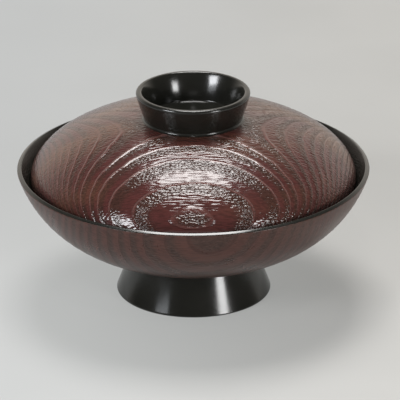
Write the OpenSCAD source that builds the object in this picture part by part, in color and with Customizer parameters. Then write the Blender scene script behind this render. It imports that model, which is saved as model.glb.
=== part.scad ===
// Covered soup bowl of turned wood, lacquered.
// A wide bowl stands on a flared foot ring, and a domed lid with a ring-shaped
// knob drops inside the rim. Every piece is turned about the Z axis.
// Millimetres, +Z up, origin at the centre of the foot, on the table.

/* [Bowl] */
// Outer radius of the bowl at its rim
rim_r = 68; // [58:1:80]
// Height of the rim above the table
rim_h = 51.45; // [46:0.25:60]
// Half of the lip's thickness
lip_r = 1; // [0.9:0.1:1.4]
// Slope of the lip's bevel, outwards and down, in degrees
lip_slope = 24; // [18:1:28]
// Where the black coat ends on the lip's outer rounding, in degrees above level
coat_edge = 30; // [10:5:50]
// Wall of the bowl at its centre, above the spigot's end
floor_wall = 3.9; // [3.2:0.1:6]
// Wall of the bowl from the foot up to the lid's seat
side_wall = 3.1; // [2.4:0.1:4]
// Slope of the outer wall just below the rim, in degrees
rim_slope = 71; // [66:1:76]
// Slope of the inner wall where the lid sits, in degrees
seat_slope = 59; // [52:1:66]

/* [Foot] */
// Outer radius of the foot on the table
foot_r = 30.5; // [27:0.25:36]
// Outer radius of the foot where it meets the bowl
foot_top_r = 24.7; // [23:0.1:28]
// Height of the face that the foot is glued to
foot_h = 16.2; // [13:0.25:20]
// Wall of the foot at the table
foot_wall = 2.3; // [1.8:0.1:3]
// Wall of the foot where it meets the bowl, beside the spigot
foot_top_wall = 4.7; // [3.5:0.1:6]
// Length of the bowl's spigot
spigot_h = 2.9; // [2:0.1:4]

/* [Lid] */
// Depth of the lid's edge below the rim
lid_drop = 5; // [4:0.25:7]
// Rise of the dome above the lid's edge
lid_rise = 25.6; // [22:0.1:32]
// Radius of the lid's rounded edge
lid_edge_r = 1.1; // [0.9:0.1:1.4]
// Wall of the lid at its crown
crown_wall = 3.6; // [3.2:0.1:5]
// Clearance between the lid's edge and the bowl
lid_gap = 0.25; // [0.15:0.05:0.5]

/* [Knob] */
// Outer radius of the knob ring at its lip
knob_r = 22.5; // [21:0.25:26]
// Outer radius of the knob ring on the dome
knob_base_r = 18.9; // [18:0.1:20]
// Height of the knob ring above the dome
knob_h = 11.2; // [8:0.1:14]
// Thickness of the knob ring at its lip
knob_lip = 2.25; // [2:0.05:3]
// Rounding of the knob ring's lip
knob_lip_round = 0.95; // [0.5:0.05:1]
// Wall of the knob ring on the dome, beside its hole
knob_wall = 3.5; // [2.8:0.1:5]
// Depth of the groove in the lid that holds the knob ring
knob_inset = 1.3; // [0.8:0.1:1.6]

/* [Lacquer and glue] */
// Build-up of the black lacquer on its ground
coat_t = 0.4; // [0.25:0.05:0.6]
// Glue line between a spigot and its ring
glue_gap = 0.1; // [0.05:0.05:0.2]

/* [Hidden] */

// Facets of a full turn, steps along a long curve, a short one and a rounded edge
$fn = 180;
curve_steps = 28;
bend_steps = 10;
round_steps = 8;

// Slopes of the belly where it leaves the foot and of the floor at its centre, in degrees
belly_slope = 13;
floor_slope = 0;
// Pulls of the wall curves at their low and high ends, as shares of their chords
outer_pull_shares = [0.37, 0.385];
floor_pull_shares = [0.4, 0.27];
seat_pull_shares = [0.33, 0.33];
// Part of the outer wall that the inner wall runs beside, as shares of its length
side_shares = [0, 0.72];
// Place of the bend in the foot's flare, as shares of its height and of its spread
flare_shares = [0.45, 0.36];
// Place of the bend in the knob's flare, as shares of its height and of its spread
knob_flare_shares = [0.62, 0.7];

// Place of the bend in the knob's inner wall, as shares of its depth and of its spread
bore_bend_shares = [0.4, 0.6];

// Small roundings and the widths that go with them
foot_round = 0.5;
recess_fillet = 2.2;
recess_ledge = 1.5;
knob_fillet = 0.8;
bore_fillet = 0.8;

// Colours
wood_red = [0.30, 0.20, 0.17];
wood_brown = [0.33, 0.26, 0.22];
lacquer_black = [0.12, 0.12, 0.11];

// Points and directions
function unit(v) = v / norm(v);
function heading(a) = [cos(a), sin(a)];
function right_of(d) = [d.y, -d.x];
function backwards(path) = [for (i = [len(path) - 1:-1:0]) path[i]];
function tail(path) = [for (i = [1:len(path) - 1]) path[i]];

// Point and direction on a cubic curve p at t
function curve_point(p, t) =
    p[0] * pow(1 - t, 3) + p[1] * 3 * t * pow(1 - t, 2)
    + p[2] * 3 * t * t * (1 - t) + p[3] * pow(t, 3);
function curve_heading(p, t) =
    unit((p[1] - p[0]) * pow(1 - t, 2) + (p[2] - p[1]) * 2 * t * (1 - t)
    + (p[3] - p[2]) * t * t);
// Point of the curve at t moved d to its right, and the path of such points over a span of t
function curve_side(p, t, d) = curve_point(p, t) + d * right_of(curve_heading(p, t));
function curve_path(p, d = 0, span = [0, 1], steps = curve_steps) = [
    for (i = [0:steps]) curve_side(p, span[0] + (span[1] - span[0]) * i / steps, d)
];
// Cubic curve from a to b that leaves a along da and reaches b along db
function wall_curve(a, b, da, db, shares) =
    let (chord = norm(b - a)) [a, a + da * chord * shares[0], b - db * chord * shares[1], b];

// Curve from a to b that bends once, towards the point c
function bend_path(a, c, b) = [
    for (i = [0:curve_steps])
        let (t = i / curve_steps) a * pow(1 - t, 2) + c * 2 * t * (1 - t) + b * t * t
];

// Arc about c from angle a0 to a1
function arc(c, r, a0, a1, steps = round_steps) = [
    for (i = [0:steps]) c + r * heading(a0 + (a1 - a0) * i / steps)
];

// Half of the angle at b between a and c
function half_angle(a, b, c) = acos(unit(a - b) * unit(c - b)) / 2;
// Where a rounding of radius r at the corner b leaves the side that runs to a
function tangent_point(a, b, c, r) = b + unit(a - b) * r / tan(half_angle(a, b, c));
// Arc of radius r that rounds the corner at b between a and c
function rounded(a, b, c, r) =
    let (
        centre = b + unit(unit(a - b) + unit(c - b)) * r / sin(half_angle(a, b, c)),
        from = tangent_point(a, b, c, r) - centre,
        to = tangent_point(c, b, a, r) - centre,
        start = atan2(from.y, from.x),
        turn = (atan2(to.y, to.x) - start + 540) % 360 - 180
    )
    arc(centre, r, start, start + turn);

// Radius of the bowl's spigot inside the foot
spigot_r = foot_top_r - foot_top_wall;

// Lip of the bowl: two roundings with a bevel between them, tangent to the lid's seat and the outer wall
lip_mid = [rim_r - lip_r, rim_h - lip_r];
lip_round = lip_r / 2;
lip_reach = lip_r - lip_round;
lip_in = lip_mid + lip_reach * [-tan(seat_slope / 2), 1];
lip_out = lip_mid + lip_reach * [1, 1 - (1 + tan(seat_slope / 2)) * tan(lip_slope)];
seat_top = lip_mid + lip_r * heading(seat_slope + 90);
// Path over the lip from the seat to the coat's edge, d below its surface
function lip_path(d, steps) = concat(
    arc(lip_in, lip_round - d, seat_slope + 90, 90 - lip_slope, steps),
    arc(lip_out, lip_round - d, 90 - lip_slope, coat_edge, steps)
);
// The seat runs down past the lid's edge before the inner wall bends
seat_run = (lid_drop + lid_edge_r * 2) / sin(seat_slope);
seat_end = seat_top - heading(seat_slope) * seat_run;

// Outer wall of the bowl
outer_wall = wall_curve(
    [foot_top_r, foot_h], lip_out + lip_round * heading(rim_slope - 90),
    heading(belly_slope), heading(rim_slope), outer_pull_shares
);
// Its inner wall as the lining shows it: a floor, a side that keeps to the outer wall, a bend to the seat
floor_curve = wall_curve(
    [0, foot_h - spigot_h + floor_wall], curve_side(outer_wall, side_shares[0], -side_wall),
    heading(floor_slope), curve_heading(outer_wall, side_shares[0]), floor_pull_shares
);
seat_curve = wall_curve(
    curve_side(outer_wall, side_shares[1], -side_wall), seat_end,
    curve_heading(outer_wall, side_shares[1]), heading(seat_slope), seat_pull_shares
);

// Path over the inside and the lip to the coat's edge, d below the lacquered face
function lining_path(d) = concat(
    curve_path(floor_curve, d, steps = bend_steps),
    tail(curve_path(outer_wall, d - side_wall, side_shares)),
    tail(curve_path(seat_curve, d, steps = bend_steps)),
    lip_path(d, d > 0 ? 3 : round_steps)
);

// Lid: the edge's centre stands clear of the seat, and the dome is a quarter ellipse
seat_r = seat_top.x - (seat_top.y - rim_h + lid_drop) / tan(seat_slope);
lid_edge = [seat_r - (lid_edge_r + lid_gap) / sin(seat_slope), rim_h - lid_drop];
lid_r = lid_edge.x + lid_edge_r;
function dome(r) = lid_edge.y + lid_rise * sqrt(1 - pow(r / lid_r, 2));
// Path from radius r0 out to r1 on a quarter ellipse over the edge, full_r wide and rise high
function dome_path(r0, r1, rise, full_r) =
    let (a0 = asin(r0 / full_r), a1 = asin(r1 / full_r))
    [
        for (i = [0:curve_steps])
            let (a = a0 + (a1 - a0) * i / curve_steps)
            [full_r * sin(a), lid_edge.y + rise * cos(a)]
    ];
vault_r = lid_edge.x - lid_edge_r;
vault_rise = lid_rise - crown_wall;
// Path of the lid's vault and its edge, d below the lacquered face
function vault_path(d) = concat(
    dome_path(0, vault_r + d, vault_rise + d, vault_r + d),
    arc(lid_edge, lid_edge_r - d, -180, 0)
);

// Knob ring: it stands in a groove round a low boss, and a small fillet spreads on the dome
knob_top = dome(knob_base_r) + knob_h;
groove_floor = dome(knob_base_r) - knob_inset;
knob_bore_r = knob_base_r - knob_wall;
groove_in_r = knob_bore_r - glue_gap;
skirt_r = knob_base_r + knob_fillet;
knob_lip_out = [knob_r, knob_top];
knob_lip_in = [knob_r - knob_lip, knob_top];
knob_bend = [
    knob_base_r + (knob_r - knob_base_r) * knob_flare_shares[1],
    dome(knob_base_r) + knob_h * knob_flare_shares[0],
];
knob_flare = bend_path(
    [knob_base_r + glue_gap, dome(knob_base_r) + knob_fillet],
    knob_bend,
    tangent_point(knob_bend, knob_lip_out, knob_lip_in, knob_lip_round)
);
// Its inner wall: steeper below the bend, down to a fillet round the floor
bore_floor = dome(knob_bore_r);
bore_top = [knob_bore_r, bore_floor];
bore_low = [knob_bore_r + bore_fillet, bore_floor];
bore_bend = [
    knob_lip_in.x + (bore_low.x - knob_lip_in.x) * bore_bend_shares[1],
    knob_lip_in.y + (bore_low.y - knob_lip_in.y) * bore_bend_shares[0],
];
bore_wall = bend_path(
    tangent_point(bore_bend, knob_lip_in, knob_lip_out, knob_lip_round),
    bore_bend,
    tangent_point(bore_bend, bore_low, bore_top, bore_fillet)
);

// Foot ring: socket for the spigot at its top, recess below
socket_r = spigot_r + glue_gap;
recess_h = foot_h - spigot_h - coat_t;
foot_out = [foot_r, 0];
foot_in = [foot_r - foot_wall, 0];
flare_bend = [
    foot_top_r + (foot_r - foot_top_r) * flare_shares[1],
    foot_h * (1 - flare_shares[0]),
];
flare = bend_path(
    [foot_top_r, foot_h],
    flare_bend,
    tangent_point(flare_bend, foot_out, foot_in, foot_round)
);

module turned(outline, finish) {
    color(finish) rotate_extrude() polygon(outline);
}

// Turned wooden shell, with the spigot below and a rebate for the lining round the lip
module bowl_core() {
    turned(concat(
        [[0, foot_h - spigot_h], [spigot_r, foot_h - spigot_h], [spigot_r, foot_h]],
        curve_path(outer_wall),
        tail(arc(lip_out, lip_round, rim_slope - 90, coat_edge)),
        backwards(lining_path(coat_t))
    ), wood_brown);
}

// Black lacquer inside the bowl and over its lip
module bowl_lining() {
    turned(concat(lining_path(0), backwards(lining_path(coat_t))), lacquer_black);
}

// Flared ring glued round the spigot, lacquered black all over
module foot_ring() {
    socket_low = [socket_r, recess_h];
    inner_top = [socket_r + recess_ledge, recess_h];
    turned(concat(
        flare,
        rounded(flare_bend, foot_out, foot_in, foot_round),
        rounded(foot_out, foot_in, inner_top, foot_round),
        rounded(foot_in, inner_top, socket_low, recess_fillet),
        [socket_low, [socket_r, foot_h]]
    ), lacquer_black);
}

// Black lacquer on the end of the spigot, inside the foot
module foot_recess_coat() {
    color(lacquer_black) translate([0, 0, recess_h]) cylinder(h = coat_t, r = spigot_r);
}

// Turned wooden dome, with a groove for the knob ring round a low boss
module lid_core() {
    boss = [for (p = dome_path(0, groove_in_r, lid_rise, lid_r)) p - [0, coat_t]];
    turned(concat(
        boss,
        [
            [groove_in_r, groove_floor],
            [knob_base_r + glue_gap, groove_floor],
            [knob_base_r + glue_gap, dome(knob_base_r + glue_gap)],
        ],
        dome_path(skirt_r, lid_r, lid_rise, lid_r),
        backwards(vault_path(coat_t))
    ), wood_red);
}

// Black lacquer in the lid's vault and round its edge
module lid_lining() {
    turned(concat(vault_path(0), backwards(vault_path(coat_t))), lacquer_black);
}

// Ring glued into the groove, lacquered black all over
module knob_ring() {
    turned(concat(
        [[knob_bore_r, groove_floor], [knob_base_r, groove_floor]],
        [[knob_base_r, dome(knob_base_r + glue_gap)]],
        [[knob_base_r + glue_gap, dome(knob_base_r + glue_gap)]],
        [[skirt_r, dome(skirt_r)]],
        knob_flare,
        rounded(knob_bend, knob_lip_out, knob_lip_in, knob_lip_round),
        rounded(knob_lip_out, knob_lip_in, bore_bend, knob_lip_round),
        tail(bore_wall),
        tail(rounded(bore_bend, bore_low, bore_top, bore_fillet)),
        [bore_top]
    ), lacquer_black);
}

// Black lacquer on the boss, the floor of the knob
module knob_floor_coat() {
    top = dome_path(0, groove_in_r, lid_rise, lid_r);
    turned(concat(top, backwards([for (p = top) p - [0, coat_t]])), lacquer_black);
}

bowl_core();
bowl_lining();
foot_ring();
foot_recess_coat();
lid_core();
lid_lining();
knob_ring();
knob_floor_coat();
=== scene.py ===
"""Covered soup bowl of turned, lacquered wood: its looks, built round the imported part.

The bowl with its foot and the lid with its knob are turned about Z. Each piece is one closed
mesh, spun from an outline in radius and height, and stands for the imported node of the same
place. The wood grows as one block along X: every point of a wooden piece has a year, and the
years give the piece its low relief, its pores and its colours. All lengths are in metres.
"""

import logging
import math
from dataclasses import dataclass, field
from enum import Enum, IntEnum
from functools import reduce

import bmesh
import bpy
from mathutils import Euler, Matrix, Vector, noise


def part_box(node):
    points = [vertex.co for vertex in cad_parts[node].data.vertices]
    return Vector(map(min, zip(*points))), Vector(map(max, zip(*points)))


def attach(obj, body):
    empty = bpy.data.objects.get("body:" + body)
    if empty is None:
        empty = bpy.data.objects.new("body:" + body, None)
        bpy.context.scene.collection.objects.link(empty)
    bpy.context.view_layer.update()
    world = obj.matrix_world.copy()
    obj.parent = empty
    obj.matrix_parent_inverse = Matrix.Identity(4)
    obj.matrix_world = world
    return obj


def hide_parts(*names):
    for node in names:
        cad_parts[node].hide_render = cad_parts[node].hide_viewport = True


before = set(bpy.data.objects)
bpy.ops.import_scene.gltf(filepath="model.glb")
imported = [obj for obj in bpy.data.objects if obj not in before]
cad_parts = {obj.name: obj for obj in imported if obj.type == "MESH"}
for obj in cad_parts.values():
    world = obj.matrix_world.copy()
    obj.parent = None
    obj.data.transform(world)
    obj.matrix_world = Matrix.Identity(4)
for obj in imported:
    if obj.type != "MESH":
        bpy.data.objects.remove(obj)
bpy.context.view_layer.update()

log = logging.getLogger("soup_bowl")

IMAGE_WIDTH = 400
QUARTER_TURN = 90.0
HALF_TURN = 180.0
FULL_TURN = 360.0

Outline = list[Vector]
Colour = tuple[float, float, float, float]
Socket = bpy.types.NodeSocket
Value = Socket | float | Colour


class Body(Enum):
    """The two bodies of the part that move against each other."""

    BOWL = "bowl"
    LID = "lid"


class Axis(IntEnum):
    """The axes of the part: X to the right, Y away from the front and Z up."""

    X = 0
    Y = 1
    Z = 2


class Slot(Enum):
    """The record's material slots."""

    BROWN_WOOD = "brown_wood_lacquer"
    RED_WOOD = "red_wood_lacquer"
    BLACK_WOOD = "black_lacquered_wood"
    BLACK_COAT = "black_lacquer"


Materials = dict[Slot, bpy.types.Material]


# Curves in the plane of radius and height


def heading(angle: float) -> Vector:
    """Returns the unit step at an angle in degrees, in the plane of radius and height."""
    return Vector((math.cos(math.radians(angle)), math.sin(math.radians(angle))))


def right_of(step: Vector) -> Vector:
    """Returns the step turned a quarter turn to its right."""
    return Vector((step.y, -step.x))


def smooth_step(low: float, high: float, value: float) -> float:
    """Rises smoothly from 0 at low to 1 at high, and falls where high is the lower one.

    Args:
        low: Where the step starts.
        high: Where the step ends.
        value: Where it is read.

    Returns:
        A share from 0 to 1.
    """
    share = min(max((value - low) / (high - low), 0.0), 1.0)
    return share * share * (3 - 2 * share)


def arc(centre: Vector, radius: float, start: float, end: float, steps: int) -> Outline:
    """Returns the points of an arc from one angle in degrees to another."""
    return [
        centre + heading(start + (end - start) * step / steps) * radius
        for step in range(steps + 1)
    ]


def ellipse(
    half_axes: tuple[float, float], low: float, span: tuple[float, float], steps: int
) -> Outline:
    """Runs outwards over a quarter of an ellipse that stands on the axis.

    Args:
        half_axes: Radius and height of the ellipse.
        low: Height of its middle.
        span: First and last radius of the path.
        steps: Number of steps.

    Returns:
        The points of the path.
    """
    full, rise = half_axes
    start, end = (math.asin(min(radius / full, 1.0)) for radius in span)
    angles = [start + (end - start) * step / steps for step in range(steps + 1)]
    return [
        Vector((full * math.sin(angle), low + rise * math.cos(angle))) for angle in angles
    ]


def lowered(path: Outline, drop: float) -> Outline:
    """Returns a path moved down by a drop."""
    return [point - Vector((0.0, drop)) for point in path]


def bend(start: Vector, corner: Vector, end: Vector, steps: int) -> Outline:
    """Returns the points of a curve that bends once, towards a corner."""
    shares = [step / steps for step in range(steps + 1)]
    return [
        start * (1 - share) ** 2 + corner * (2 * share * (1 - share)) + end * share**2
        for share in shares
    ]


def rounded(
    before: Vector, corner: Vector, after: Vector, radius: float, steps: int
) -> Outline:
    """Rounds the corner between two sides.

    Args:
        before: The corner's earlier neighbour.
        corner: The corner that is rounded.
        after: The corner's later neighbour.
        radius: Radius of the rounding.
        steps: Number of steps along the arc.

    Returns:
        The points of the arc, from the side before the corner to the side after it.
    """
    sides = [(point - corner).normalized() for point in (before, after)]
    half = sides[0].angle(sides[1]) / 2
    centre = corner + (sides[0] + sides[1]).normalized() * (radius / math.sin(half))
    ends = [corner + side * (radius / math.tan(half)) - centre for side in sides]
    start, end = (math.degrees(math.atan2(point.y, point.x)) for point in ends)
    return arc(centre, radius, start, start + math.remainder(end - start, FULL_TURN), steps)


def corner_between(start: Vector, end: Vector, shares: tuple[float, float]) -> Vector:
    """Finds a corner between two points.

    Args:
        start: The first point.
        end: The second point.
        shares: How far the corner lies from the first to the second, in height and in radius.

    Returns:
        The corner.
    """
    up, out = shares
    way = end - start
    return start + Vector((way.x * out, way.y * up))


@dataclass(frozen=True)
class WallCurve:
    """A cubic curve of a turned wall.

    Attributes:
        points: The start, its pull, the end's pull and the end.
    """

    points: tuple[Vector, Vector, Vector, Vector]

    @classmethod
    def between(
        cls,
        ends: tuple[Vector, Vector],
        headings: tuple[Vector, Vector],
        pull_shares: tuple[float, float],
    ) -> "WallCurve":
        """Makes the curve that leaves and reaches two ends along given headings.

        Args:
            ends: The first and the last point.
            headings: The unit steps at the first and the last point.
            pull_shares: The two pulls, as shares of the chord.

        Returns:
            The curve.
        """
        start, end = ends
        chord = (end - start).length
        start_pull = start + headings[0] * chord * pull_shares[0]
        end_pull = end - headings[1] * chord * pull_shares[1]
        return cls((start, start_pull, end_pull, end))

    def heading(self, share: float) -> Vector:
        """Finds the way that the curve runs.

        Args:
            share: Where on the curve, from 0 at its start to 1 at its end.

        Returns:
            The unit step along the curve.
        """
        start, start_pull, end_pull, end = self.points
        rest = 1 - share
        step = (start_pull - start) * rest**2 + (end - end_pull) * share**2
        step += (end_pull - start_pull) * (2 * share * rest)
        return step.normalized()

    def side(self, share: float, distance: float) -> Vector:
        """Finds a point beside the curve.

        Args:
            share: Where on the curve, from 0 at its start to 1 at its end.
            distance: How far the point lies to the right of the curve.

        Returns:
            The point.
        """
        start, start_pull, end_pull, end = self.points
        rest = 1 - share
        point = start * rest**3 + end * share**3
        point += (start_pull * rest + end_pull * share) * (3 * share * rest)
        return point + right_of(self.heading(share)) * distance

    def path(
        self, steps: int, distance: float = 0.0, span: tuple[float, float] = (0.0, 1.0)
    ) -> Outline:
        """Samples the curve, or a curve beside it.

        Args:
            steps: Number of steps along the curve.
            distance: How far the path runs to the right of the curve.
            span: The stretch of the curve that the path follows.

        Returns:
            The points of the path.
        """
        low, high = span
        shares = [low + (high - low) * step / steps for step in range(steps + 1)]
        return [self.side(share, distance) for share in shares]


# Wood

FIRST_YEAR = 100
# Lengths of the rings' slow and quick waves, along X and beside it
WAVE_LENGTHS = ((0.05, 0.02), (0.012, 0.004))


@dataclass(frozen=True)
class Timber:
    """How the wood of one piece grew, along X.

    Attributes:
        pith: Y and Z of the oldest wood at the middle of the piece.
        lean: Change of the pith's Y and Z along X.
        stretch: How many times slower the rings open along X.
        ring_radii: Radii of the growth lines, where they can be told apart.
        inner_ring: Width of a ring inside the first line.
        outer_ring: Width of a ring outside the last line.
        waver: Sizes of the rings' slow and quick wavering.
        seed: Place of the wavering, different for each block.
    """

    pith: tuple[float, float]
    lean: tuple[float, float]
    stretch: float
    ring_radii: tuple[float, ...]
    inner_ring: float
    outer_ring: float
    waver: tuple[float, float]
    seed: float

    def growth_radius(self, point: Vector) -> float:
        """Finds how far the tree had grown when it laid down the wood at a point.

        Args:
            point: A point of the piece.

        Returns:
            The distance from the pith, measured across the growth lines.
        """
        across = point.y - self.pith[0] - self.lean[0] * point.x
        up = point.z - self.pith[1] - self.lean[1] * point.x
        radius = math.hypot(across, up, point.x / self.stretch)
        for size, (along, beside) in zip(self.waver, WAVE_LENGTHS):
            spot = Vector((point.x / along, point.y / beside, point.z / beside + self.seed))
            radius += noise.noise(spot) * size
        return radius

    def year_at(self, point: Vector) -> tuple[float, float]:
        """Finds the year of a point.

        Args:
            point: A point of the piece.

        Returns:
            The year, whose whole numbers are the growth lines, and the width of its ring.
        """
        radius = self.growth_radius(point)
        radii = self.ring_radii
        if radius < radii[0]:
            return FIRST_YEAR + (radius - radii[0]) / self.inner_ring, self.inner_ring
        for index, (low, high) in enumerate(zip(radii, radii[1:])):
            if radius < high:
                return FIRST_YEAR + index + (radius - low) / (high - low), high - low
        last = FIRST_YEAR + len(radii) - 1
        return last + (radius - radii[-1]) / self.outer_ring, self.outer_ring


@dataclass(frozen=True)
class WoodRelief:
    """The low relief that brushing and lacquer leave on the wood.

    Attributes:
        depth: How deep the soft early wood lies below the late wood.
        edge: Width of the fall from a growth line into the early wood.
        early_shares: Where in a ring the early wood starts to rise, and where it has risen.
    """

    depth: float
    edge: float = 0.0004
    early_shares: tuple[float, float] = (0.3, 0.7)

    def height(self, year: float, ring: float) -> float:
        """Finds the height of the surface.

        Args:
            year: The year of the wood there.
            ring: Width of that year's ring.

        Returns:
            The height, which is 0 on late wood and below 0 on early wood.
        """
        share = year % 1.0
        fall = smooth_step(0.0, self.edge, share * ring)
        rise = smooth_step(*self.early_shares, share)
        return -self.depth * fall * (1 - rise)


# Meshes

MERGE_DISTANCE = 1e-7
# A piece is spun as one sector, which is doubled this many times to the full turn
DOUBLINGS = 4
SHARP_CORNER = math.radians(32)
PLAIN_SEGMENTS = 256
LINING_SEGMENTS = 368


def faded(rows: int, first: int, last: int) -> list[float]:
    """Returns shares that fade in over the first of a path's rows and out over its last."""
    return [
        smooth_step(0, first, row) * smooth_step(rows, rows - last, row)
        for row in range(rows + 1)
    ]


def spin_outline(outline: Outline, segments: int, relief_shares: list[float]) -> bmesh.types.BMesh:
    """Spins a closed outline about Z into a closed mesh.

    Args:
        outline: Points in radius and height, which may start and end on the axis.
        segments: Number of segments of the full turn.
        relief_shares: How much of the wood's relief each point takes.

    Returns:
        The mesh, whose vertices carry the relief shares in a layer named relief.
    """
    shape = bmesh.new()
    layer = shape.verts.layers.float.new("relief")
    corners = [shape.verts.new((point.x, 0.0, point.y)) for point in outline]
    for corner, share in zip(corners, relief_shares):
        corner[layer] = share
    pairs = list(zip(corners, corners[1:]))
    if max(outline[0].x, outline[-1].x) > MERGE_DISTANCE:
        pairs.append((corners[-1], corners[0]))
    edges = [shape.edges.new(pair) for pair in pairs]
    sectors = 2**DOUBLINGS
    turn = math.tau / sectors
    bmesh.ops.spin(
        shape, geom=corners + edges, cent=(0, 0, 0), axis=(0, 0, 1),
        angle=turn, steps=segments // sectors,
    )
    for _ in range(DOUBLINGS):
        sector = shape.verts[:] + shape.edges[:] + shape.faces[:]
        copied = bmesh.ops.duplicate(shape, geom=sector)["geom"]
        moved = [part for part in copied if isinstance(part, bmesh.types.BMVert)]
        bmesh.ops.rotate(shape, verts=moved, matrix=Matrix.Rotation(turn, 3, "Z"))
        turn *= 2
    bmesh.ops.remove_doubles(shape, verts=shape.verts, dist=MERGE_DISTANCE)
    bmesh.ops.recalc_face_normals(shape, faces=shape.faces)
    return shape


def new_object(name: str, data: bpy.types.ID) -> bpy.types.Object:
    """Makes an object.

    Args:
        name: Its name.
        data: Its mesh, lamp or camera.

    Returns:
        The object, linked to the scene.
    """
    made = bpy.data.objects.new(name, data)
    bpy.context.scene.collection.objects.link(made)
    return made


def finish_mesh(shape: bmesh.types.BMesh, name: str) -> bpy.types.Object:
    """Turns a bmesh into a smooth object with its sharp corners kept.

    Args:
        shape: The mesh, which is freed.
        name: Name of the object.

    Returns:
        The object, linked to the scene.
    """
    mesh = bpy.data.meshes.new(name)
    for face in shape.faces:
        face.smooth = True
    shape.to_mesh(mesh)
    shape.free()
    mesh.set_sharp_from_angle(angle=SHARP_CORNER)
    return new_object(name, mesh)


def turn_piece(
    name: str, outline: Outline, segments: int = PLAIN_SEGMENTS
) -> bpy.types.Object:
    """Turns a plain piece from its outline."""
    return finish_mesh(spin_outline(outline, segments, [0.0] * len(outline)), name)


def turn_wood(
    name: str, outline: Outline, relief_shares: list[float], segments: int, timber: Timber,
    relief: WoodRelief,
) -> bpy.types.Object:
    """Turns a wooden piece, presses its relief in and writes its years on its vertices.

    Args:
        name: Name of the object.
        outline: Points in radius and height.
        relief_shares: How much of the relief each point takes.
        segments: Number of segments of the full turn.
        timber: How the wood grew.
        relief: The relief that its years leave.

    Returns:
        The object, with the attributes year and ring.
    """
    shape = spin_outline(outline, segments, relief_shares)
    share_layer = shape.verts.layers.float["relief"]
    year_layer = shape.verts.layers.float.new("year")
    ring_layer = shape.verts.layers.float.new("ring")
    for vertex in shape.verts:
        year, ring = timber.year_at(vertex.co)
        vertex[year_layer] = year
        vertex[ring_layer] = ring
        if vertex[share_layer] > 0:
            vertex.co += vertex.normal * relief.height(year, ring) * vertex[share_layer]
    shape.verts.layers.float.remove(share_layer)
    return finish_mesh(shape, name)


# Nodes

FLOAT = "NodeSocketFloat"
VECTOR = "NodeSocketVector"
# Numbers of the colour sockets of a Mix node
MIX_FIRST = 6
MIX_SECOND = 7
MIX_RESULT = 2


class Easing(Enum):
    """The ways in which a mapped value runs between its ends."""

    STRAIGHT = "LINEAR"
    SMOOTH = "SMOOTHSTEP"


@dataclass(frozen=True)
class Pattern:
    """A cloudy or speckled pattern inside a material.

    Attributes:
        scale: Its cells per metre.
        detail: Number of its finer layers.
        rough: Strength of each finer layer.
        along: Its cells per metre along X, as a share of those across.
        span: Its values where a patch starts and where it is full.
    """

    scale: float
    detail: float
    rough: float = 0.5
    along: float = 1.0
    span: tuple[float, float] = (0.0, 1.0)


@dataclass(frozen=True)
class Fade:
    """A smooth change of a value across the part.

    Attributes:
        axis: The axis that it follows.
        span: Where on the axis it starts and ends.
        values: What it gives before and after.
        both_ways: Whether it runs from the middle to both sides alike.
    """

    axis: Axis
    span: tuple[float, float]
    values: tuple[float, float]
    both_ways: bool = False


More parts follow.
